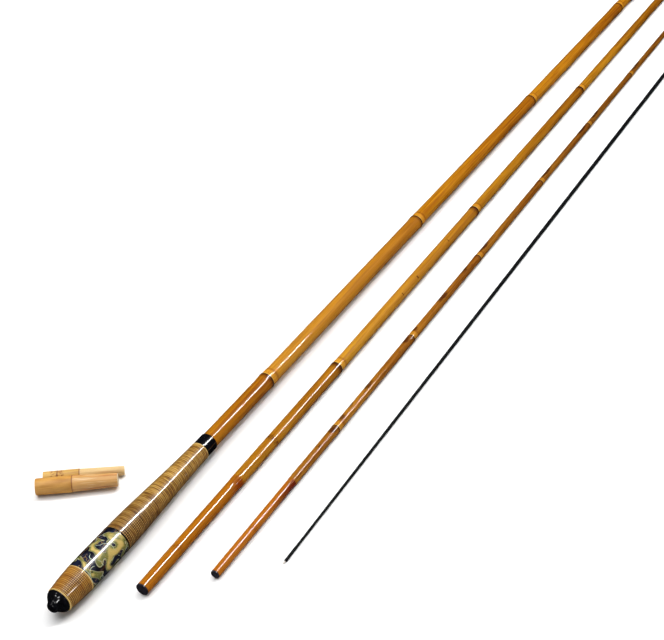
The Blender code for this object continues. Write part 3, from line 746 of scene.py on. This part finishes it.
def male_marks(culm, fade_reach):
    """Marks for a sanded male end: 1 along it, a dark fade before the shoulder, and the sanded nodes."""

    def scar(angle, height):
        """The traces of sanded nodes, weaker on the male end itself."""
        traces = []
        for place in culm.sanded:
            strength = 0.45 if place < culm.male else 1.0
            traces.append(strength * max(0.0, 1.0 - ((height - place) / (3.5 * MM)) ** 2))
        return max(traces)

    def male(angle, height):
        return 1.0 if height < culm.male + 0.1 * MM else 0.0

    def fade(angle, height):
        return male(angle, height) * max(0.0, 1.0 - (culm.male - height) / fade_reach)

    return {"scar": scar, "male": male, "fade": fade}


def culm_piece(section, culm, near_end, hollow, sides, place, look, extra_marks=None):
    """A culm's outside, with (radius, height) rings for its near end and for its hollow."""
    rings = [*near_end, *((lambda angle, z=z: culm.radius(angle, z), z) for z in culm.heights()), *hollow]
    marks = {mark: getattr(culm, mark) for mark in ("ring", "near", "climb", "grade", "bud", "groove")}
    marks.update(extra_marks or {})
    name = f"{section}_bamboo"
    skin(name, rings, sides, place, look, f"{section}_section", f"{section}_culm", marks=marks)


# Looks that more than one piece has

BLACK = lacquer("black_lacquer_look", (0.0022, 0.0022, 0.0032))
BROWN_THREAD = lacquer("brown_thread_look", (0.020, 0.0055, 0.0030), threads=0.32 * MM, crown_highlight=0.006)
TIP_LOOK = lacquer(
    "tip_lacquer_look", (0.0018, 0.0014, 0.0020), threads=0.9 * MM, crown_highlight=0.0006, dull=1.0,
)
END_LACQUER = lacquer("end_lacquer_look", (0.014, 0.013, 0.018), dull=0.5)
GOLD = gold_line("gold_line_look")


def whipping(section, place):
    """The thread round a section's mouth."""
    straight_sleeve(
        f"{section}_mouth_whipping", f"{section}_socket_wrap", place, f"{section}_section", BROWN_THREAD,
        wall=0.45 * MM, ease=0.22 * MM, count=60, sides=96,
    )


# Butt section

BUTT = section_frame("butt_culm", CAP_TOP)
GRIP_SIDES = 128
SLEEVE_WALL = 0.6 * MM
FINE_EDGE = 0.08 * MM
ROUND_EDGE = 0.28 * MM

butt_look = bamboo_skin(
    "butt_bamboo_look", srgb(192, 130, 20), srgb(154, 90, 3), before=0.85, before_reach=5.5 * MM,
)
main_tones = (
    (0.46, srgb(84, 46, 12)),
    (0.55, srgb(134, 92, 34)),
    (0.62, srgb(174, 130, 56)),
    (0.70, srgb(206, 168, 92)),
    (0.80, srgb(132, 110, 54)),
)
lower_tones = (
    (0.42, srgb(116, 66, 18)),
    (0.52, srgb(146, 92, 28)),
    (0.60, srgb(164, 112, 40)),
    (0.74, srgb(182, 134, 58)),
)
main_winding = winding(
    "main_winding_look", pitch=1.50 * MM, strips=46, tones=main_tones, gap_share=0.50, lattice_low=-0.40,
    lattice_ends=(0.068, 0.115), lattice_rest=0.45, near_band=srgb(206, 200, 206),
)
lower_winding = winding(
    "lower_winding_look", pitch=1.25 * MM, strips=50, tones=lower_tones, gap_share=0.60, lattice_low=-0.80,
    lattice_ends=(0.050, 0.060), lattice_rest=1.0,
)
band_look = painted_band("band_look")


def turned_sleeve(name, node, look, slot, ease, count):
    """A sleeve on the grip that follows the node's outline."""
    marks = outline_of(node, BUTT)
    rings = sleeve_rings(curve_through(marks), marks[0][0], marks[-1][0], SLEEVE_WALL, ease, count)
    skin(name, rings, GRIP_SIDES, BUTT, look, "butt_section", node, closed=True)


for sleeve in (
    ("lower_winding", "lower_grip_wrap", lower_winding, "lacquered_winding", FINE_EDGE, 24),
    ("main_winding", "main_grip_wrap", main_winding, "lacquered_winding", FINE_EDGE, 80),
    ("painted_band", "pattern_band", band_look, "lacquered_band", FINE_EDGE, 40),
    ("gold_line_at_cap", "butt_trim_ring", GOLD, "gold_line", ROUND_EDGE, 4),
    ("gold_line_below_band", "band_lower_ring", GOLD, "gold_line", ROUND_EDGE, 4),
    ("black_line_above_band", "band_upper_ring", BLACK, "black_lacquer", ROUND_EDGE, 4),
    ("gold_line_below_collar", "collar_trim_ring", GOLD, "gold_line", ROUND_EDGE, 4),
):
    turned_sleeve(*sleeve)
straight_sleeve("black_collar", "grip_collar", BUTT, "butt_section", BLACK, wall=1.3 * MM,
                ease=0.35 * MM, count=12, sides=GRIP_SIDES)

# The end cap from its inside out: a stem in the culm, an eased rim, the side, and a dome to its very end
CAP_STEM = 2.8 * MM
CAP_STEM_TOP = 20.7 * MM
CAP_RIM = 8.4 * MM
CAP_EASE = 0.3 * MM
DOME_HEIGHT = 2.2 * MM
DOME_RADIUS = 4.0 * MM

cap_marks = [mark for mark in outline_of("butt_cap", BUTT) if 2.0 * MM < mark[0] < 8.45 * MM]
cap_outer = curve_through(cap_marks)
cap_rings = [(CAP_STEM, CAP_STEM_TOP), (CAP_STEM, CAP_RIM + CAP_EASE)]
cap_rings += [(cap_outer(CAP_RIM) - CAP_EASE * (1 - cosine), CAP_RIM + CAP_EASE * sine)
              for sine, cosine in reversed(quarter(4))]
cap_rings += [(cap_outer(height), height) for height in spread(CAP_RIM, DOME_HEIGHT, 28)[1:]]
cap_rings += [(DOME_RADIUS * cosine, DOME_HEIGHT * (1 - sine)) for sine, cosine in quarter(12)[1:-1]]
cap_rings.append((0.15 * MM, 0.0))
skin("end_cap", cap_rings, GRIP_SIDES, BUTT, BLACK, "butt_section", "butt_cap")

NODES["grip_core"].data.materials.clear()
NODES["grip_core"].data.materials.append(core_look("core_look"))

butt_culm = Bamboo(
    marks=((COLLAR_TOP, 6.42 * MM), (1.127, 5.95 * MM), (BUTT_LENGTH - 0.3 * MM, 5.95 * MM),
           (BUTT_LENGTH, 5.75 * MM)),
    nodes=(0.2533, 0.5129, 0.7927, 1.0856),
    grades=(0.15, 0.42, 0.0, 0.10, 0.0),
)
culm_piece(
    "butt", butt_culm,
    near_end=((2.95 * MM, 20.8 * MM), (2.95 * MM, CAP_TOP), (5.5 * MM, CAP_TOP), (5.5 * MM, COLLAR_TOP)),
    hollow=((4.95 * MM, BUTT_LENGTH), (4.8 * MM, BUTT_LENGTH - 0.2 * MM), (4.6 * MM, 1.0588),
            (4.4 * MM, 1.0585), (4.4 * MM, 0.0528)),
    sides=72, place=BUTT, look=butt_look,
)
whipping("butt", BUTT)


# The two sections with male ends


def end_disc(section, place, radius):
    """The lacquered end of a male end: a stem in it, an eased rim and a slightly dished face."""
    stem, back, ease, dish = radius * 0.45, 1.0 * MM, 0.3 * MM, 0.04 * MM
    rings = [(stem, 7.0 * MM), (stem, back), (radius - 0.04 * MM, back), (radius, back - 0.06 * MM)]
    rings += [(radius - ease * (1 - cosine), ease * (1 - sine)) for sine, cosine in quarter(5)]
    rings += [(radius * share, dish * (1 - share**2)) for share in (0.8, 0.6, 0.4, 0.2, 0.02)]
    skin(f"{section}_end_disc", rings, 72, place, END_LACQUER, f"{section}_section", f"{section}_end_seal")


SECOND = section_frame("second_culm", END_SEAL)
second_look = bamboo_skin(
    "second_bamboo_look", srgb(188, 132, 26), srgb(154, 96, 6), before=0.97, before_reach=9.0 * MM,
    male=(srgb(170, 104, 12), srgb(142, 76, 3), srgb(206, 150, 96)),
    specks=((0.3913, -136.0, 0.7 * MM), (0.3628, -135.0, 0.3 * MM), (0.455, -150.0, 0.3 * MM)),
)
second_culm = Bamboo(
    marks=((END_SEAL, 4.5 * MM), (109.0 * MM, 4.7 * MM), (109.3 * MM, 4.9 * MM), (1.125, 4.45 * MM),
           (1.1648, 4.45 * MM), (1.165, 4.3 * MM)),
    nodes=(0.2542, 0.5179, 0.8040, 1.1080),
    grades=(0.20, 0.35, -0.45, -0.30, -0.20),
    sanded=(0.0379, 0.1568),
    male=0.1092,
)
culm_piece(
    "second", second_culm,
    near_end=((2.175 * MM, 7.2 * MM), (2.175 * MM, END_SEAL)),
    hollow=((3.45 * MM, 1.165), (3.35 * MM, 1.1648), (3.2 * MM, 1.0644), (3.2 * MM, 0.0230)),
    sides=64, place=SECOND, look=second_look, extra_marks=male_marks(second_culm, 0.016),
)
end_disc("second", SECOND, 4.5 * MM)
whipping("second", SECOND)

THIRD = section_frame("third_culm", END_SEAL)
third_look = bamboo_skin(
    "third_bamboo_look", srgb(172, 114, 28), srgb(138, 82, 12), before=0.6, before_reach=5.0 * MM,
    band_share=0.45, heat=(0.40, 0.80),
    male=(srgb(180, 106, 16), srgb(148, 78, 8), srgb(150, 70, 26)),
    shine=0.8,
)
third_culm = Bamboo(
    marks=((END_SEAL, 3.1 * MM), (96.4 * MM, 3.25 * MM), (96.7 * MM, 3.45 * MM), (1.053, 2.68 * MM),
           (1.0848, 2.68 * MM), (1.085, 2.58 * MM)),
    nodes=(0.1596, 0.2839, 0.4162, 0.5649, 0.6997, 0.8375, 0.9850),
    grades=(0.30, 0.10, 0.0, -0.15, -0.20, -0.30, -0.30, -0.30),
    sanded=(0.0450,),
    male=0.0966,
)

# The height, side in degrees and reach of each scorched spot
SCORCH_PLACES = (
    (0.137, -175, 0.0045), (0.154, 178, 0.0045), (0.170, 157, 0.004), (0.186, 121, 0.006),
    (0.212, 150, 0.008), (0.238, 130, 0.007), (0.276, 150, 0.006), (0.293, 148, 0.004),
    (0.345, 165, 0.009), (0.392, 140, 0.006), (0.432, 150, 0.010), (0.582, 150, 0.016),
    (0.683, 150, 0.014), (0.722, 150, 0.014), (0.858, 150, 0.018),
)
SCORCH_HALF = math.radians(75.0)


def scorch_mark(angle, height):
    """How close that place is to a scorched spot. Each runs right round, weaker on its far side."""
    strongest = 0.0
    for middle, side, reach in SCORCH_PLACES:
        along = math.exp(-(((height - middle) / reach) ** 2))
        strongest = max(strongest, along * (0.4 + 0.6 * hump(angle, math.radians(side), SCORCH_HALF)))
    return strongest


culm_piece(
    "third", third_culm,
    near_end=((1.545 * MM, 7.2 * MM), (1.545 * MM, END_SEAL)),
    hollow=((2.18 * MM, 1.085), (2.1 * MM, 1.0848), (2.05 * MM, 1.006)),
    sides=56, place=THIRD, look=third_look,
    extra_marks={**male_marks(third_culm, 0.040), "scorch": scorch_mark},
)
end_disc("third", THIRD, 3.1 * MM)
whipping("third", THIRD)

# Tip section

TIP = section_frame("tip_blank")
TIP_RING_STEP = 0.02
tip_marks = outline_of("tip_blank", TIP)[::-1]
tip_rings = []
for (upper, upper_radius), (lower, lower_radius) in zip(tip_marks, tip_marks[1:]):
    for share in spread(0.0, 1.0, max(int((upper - lower) / TIP_RING_STEP), 1))[:-1]:
        radius = upper_radius + (lower_radius - upper_radius) * share
        tip_rings.append((radius, upper + (lower - upper) * share))
tip_rings.append(tip_marks[-1][::-1])
skin("lacquered_tip", tip_rings, 40, TIP, TIP_LOOK, "tip_section", "tip_blank")
straight_sleeve("tip_thread_binding", "tip_binding", TIP, "tip_section", TIP_LOOK,
                wall=0.25 * MM, ease=0.12 * MM, count=40, sides=48)


def loop_path():
    """Up one side of the tip's cord loop, round its end and back down the other side."""
    half, straight, start = 0.28 * MM, 2.3 * MM, -0.1 * MM
    path = [Vector((0.0, -half, start - straight * share)) for share in spread(0.0, 1.0, 12)]
    for angle in spread(0.0, math.pi, 24)[1:-1]:
        path.append(Vector((0.0, -half * math.cos(angle), start - straight - half * math.sin(angle))))
    path += [Vector((0.0, half, start - straight * share)) for share in spread(1.0, 0.0, 12)]
    return path


def make_loop():
    """The loop of cord, from two strands that wind round each other."""
    lay, offset = 1.1 * MM, 0.1 * MM
    path = loop_path()
    curve = bpy.data.curves.new("line_loop", "CURVE")
    curve.dimensions = "3D"
    curve.bevel_depth = 0.12 * MM
    curve.bevel_resolution = 3
    curve.use_fill_caps = True
    length = 0.0
    tracks = ([], [])
    for i, point in enumerate(path):
        before, after = path[max(i - 1, 0)], path[min(i + 1, len(path) - 1)]
        across = Vector((1.0, 0.0, 0.0))
        other = (after - before).normalized().cross(across)
        if i:
            length += (point - path[i - 1]).length
        for strand, track in enumerate(tracks):
            turn = length / lay * math.tau + math.pi * strand
            track.append(point + (across * math.cos(turn) + other * math.sin(turn)) * offset)
    for track in tracks:
        spline = curve.splines.new("POLY")
        spline.points.add(len(track) - 1)
        for point, spot in zip(spline.points, track):
            point.co = (*spot, 1.0)
    settle("line_loop", curve, TIP, cord_look("cord_look"), "tip_section", "tip_line_loop")


make_loop()


# Plugs


def whittled(facets, seed):
    """How far inside the circle uneven flat facets lie, as a share of the radius at each angle."""
    edges = []
    spot = 0.0
    for i in range(facets):
        spot += 1.0 + 0.45 * math.sin(seed + i * 2.4)
        edges.append(spot)
    edges = [edge / spot * math.tau for edge in edges]

    def facet(angle):
        low = 0.0
        for edge in edges:
            if angle <= edge:
                return math.cos((edge - low) / 2) / math.cos(angle - (low + edge) / 2)
            low = edge
        return 1.0

    return facet


def plug_piece(name, node, look, facets, seed, node_height=-1.0):
    """A plug with a turned head and a spigot that was whittled down with a knife, facet by facet."""
    place = section_frame(node, guess=(math.cos(PLUG_TURN), math.sin(PLUG_TURN), 0.0))
    marks = outline_of(node, place)
    total = marks[-1][0]
    head_outer = curve_through([mark for mark in marks if 0.2 * MM < mark[0] < PLUG_HEAD - 0.1 * MM])
    root = min(radius for height, radius in marks if abs(height - PLUG_HEAD) < 0.02 * MM)
    head_end = head_outer(PLUG_HEAD)
    root_radius = root if root < head_end - 0.05 * MM else head_end - 0.3 * MM
    end_radius = max(radius for height, radius in marks if height > total - 0.5 * MM)
    facet = whittled(facets, seed)
    ease = 0.3 * MM
    eased = head_outer(ease) - ease
    middle = 0.02 * MM
    rings = [(middle, 0.0), (head_outer(0.0) * 0.55, 0.0), (eased, 0.0)]
    rings += [(eased + ease * sine, ease * (1 - cosine)) for sine, cosine in quarter(4)[1:]]
    rings += [(head_outer(height), height) for height in spread(0.5 * MM, PLUG_HEAD - 0.2 * MM, 44)]
    rings += [(head_end - 0.05 * MM, PLUG_HEAD - 0.05 * MM), (head_end - 0.15 * MM, PLUG_HEAD)]
    for share in spread(0.0, 1.0, 28):
        height = PLUG_HEAD + 0.01 * MM + (total - PLUG_HEAD - 0.25 * MM) * share
        radius = root_radius + (end_radius - root_radius) * share
        ripple = 0.012 * math.sin(share * 9.0 + seed)
        rings.append((lambda angle, r=radius, w=ripple: r * (facet(angle) + w * math.sin(3 * angle + seed)),
                      height))
    rings.append((lambda angle: (end_radius - 0.2 * MM) * facet(angle), total))
    rings += [(end_radius * 0.5, total), (middle, total)]
    plug_marks = {
        "ring": lambda angle, height: clamp(height - node_height, -RING_RANGE, RING_RANGE),
        "end": lambda angle, height: float(height > total - 0.1 * MM or height < 0.02 * MM),
    }
    skin(name, rings, 120, place, look, node, node, marks=plug_marks, sharp=16.0)


large_plug_look = raw_bamboo(
    "large_plug_look", srgb(204, 152, 74), srgb(168, 112, 42), srgb(198, 148, 82), srgb(158, 94, 40),
    has_node=False,
)
small_plug_look = raw_bamboo(
    "small_plug_look", srgb(208, 168, 90), srgb(180, 134, 62), srgb(208, 176, 120), srgb(184, 138, 82),
    has_node=True,
)
plug_piece("large_bamboo_plug", "large_plug", large_plug_look, facets=15, seed=0.4)
plug_piece("small_bamboo_plug", "small_plug", small_plug_look, facets=12, seed=1.9, node_height=10.0 * MM)


# Floor, light and camera


def make_floor():
    mesh = bpy.data.meshes.new("floor")
    corners = [(x * FLOOR_HALF, y * FLOOR_HALF, 0) for x, y in ((-1, -1), (1, -1), (1, 1), (-1, 1))]
    mesh.from_pydata(corners, [], [(0, 1, 2, 3)])
    floor = bpy.data.objects.new("floor", mesh)
    floor.location.z = CAD_BOX[0][2] - FLOOR_GAP
    s = Shader("floor_look", roughness=0.9, specular=0.0)
    s.colour((0.90, 0.90, 0.90))
    mesh.materials.append(s.material)
    floor.visible_glossy = False
    SCENE.collection.objects.link(floor)


def area_light(name, middle, length, width, power, glossy=True, diffuse=True, turn=0.0, aim=None):
    """A flat lamp, length long and width wide. It shines straight down, or at the place that aim gives."""
    light = bpy.data.lights.new(name, "AREA")
    light.shape = "RECTANGLE"
    light.size = length
    light.size_y = width
    light.energy = power
    lamp = bpy.data.objects.new(name, light)
    lamp.location = middle
    lamp.rotation_euler.z = math.radians(turn)
    if aim:
        lamp.rotation_euler = (aim - Vector(middle)).to_track_quat("-Z", "Y").to_euler()
    lamp.visible_glossy = glossy
    lamp.visible_diffuse = diffuse
    SCENE.collection.objects.link(lamp)


# The two ends of the light that draws the thin line along each rod, and how each is turned
NEAR_LINE = (0.70, -0.545)
NEAR_TURN = -30.0
FAR_LINE = (1.53, -1.17)
FAR_TURN = -24.0

# The way from the end cap to each small lamp that shows in its lacquer
CAP_GLINTS = (
    (-0.741, 0.370, 0.560), (-0.743, -0.103, 0.661), (-0.314, 0.423, 0.850), (-0.917, -0.156, 0.368),
    (-0.842, 0.006, 0.539),
)
CAP_LAMP_DISTANCE = 2.0


def make_light():
    # two long lamps, end to end, draw the thin line along each rod
    area_light("long_lamp_near", (*NEAR_LINE, LAMP_HEIGHT), 0.88, 0.17, power=24.0, turn=NEAR_TURN)
    area_light("long_lamp_far", (*FAR_LINE, LAMP_HEIGHT), 0.90, 0.13, power=19.0, turn=FAR_TURN)
    # a narrow one under each gives that line its white core, and lights nothing else
    area_light("line_lamp_near", (*NEAR_LINE, LINE_LAMP_HEIGHT), 0.88, 0.12, power=18.0, diffuse=False,
               turn=NEAR_TURN)
    area_light("line_lamp_far", (*FAR_LINE, LINE_LAMP_HEIGHT), 0.90, 0.10, power=12.0, diffuse=False,
               turn=FAR_TURN)
    # a wide soft one lights everything from above
    area_light("soft_box", (-0.38, 0.75, LAMP_HEIGHT), 2.6, 2.4, power=65.0, glossy=False)
    # two short ones draw the streaks on the lower winding
    area_light("streak_lamp_left", (-0.12, -0.05, LAMP_HEIGHT), 0.56, 0.13, power=5.5, diffuse=False)
    area_light("streak_lamp_right", (0.32, -2.82, LAMP_HEIGHT), 0.85, 0.24, power=15.0, diffuse=False,
               turn=-45.0)
    cap = BUTT @ Vector((0.0, 0.0, 4.0 * MM))
    for i, way in enumerate(CAP_GLINTS):
        area_light(f"cap_lamp_{i + 1}", cap + Vector(way) * CAP_LAMP_DISTANCE, 0.20, 0.13, power=2.0,
                   diffuse=False, aim=cap)
    world = bpy.data.worlds.new("studio")
    world.use_nodes = True
    back = world.node_tree.nodes["Background"]
    back.inputs["Color"].default_value = (1.0, 1.0, 1.0, 1.0)
    back.inputs["Strength"].default_value = 0.25
    world.cycles_visibility.glossy = False
    SCENE.world = world


def make_camera():
    pitch = math.atan2(VANISH_Y, FOCAL_PIXELS)
    heading = math.atan2(VANISH_X * math.cos(pitch), FOCAL_PIXELS)
    ahead = math.cos(pitch)
    forward = Vector((math.cos(heading) * ahead, math.sin(heading) * ahead, -math.sin(pitch)))
    right = Vector((math.sin(heading), -math.cos(heading), 0.0))
    up = right.cross(forward)
    turn = Matrix((right, up, -forward)).transposed().to_4x4()
    start = BUTT.translation
    data = bpy.data.cameras.new("camera")
    data.sensor_fit = "HORIZONTAL"
    data.sensor_width = SENSOR_WIDTH
    data.lens = FOCAL_PIXELS / IMAGE_WIDTH * SENSOR_WIDTH
    data.clip_start = 0.01
    camera = bpy.data.objects.new("camera", data)
    camera.matrix_world = (
        Matrix.Translation((start.x, start.y, 0.0))
        @ Matrix.Rotation(-CAMERA_TURN, 4, "Z")
        @ Matrix.Translation((-CAMERA_BACK, -CAMERA_SIDE, CAMERA_HEIGHT))
        @ turn
    )
    SCENE.collection.objects.link(camera)
    SCENE.camera = camera


make_floor()
make_light()
make_camera()
SCENE.view_settings.view_transform = "Standard"
SCENE.view_settings.look = "None"
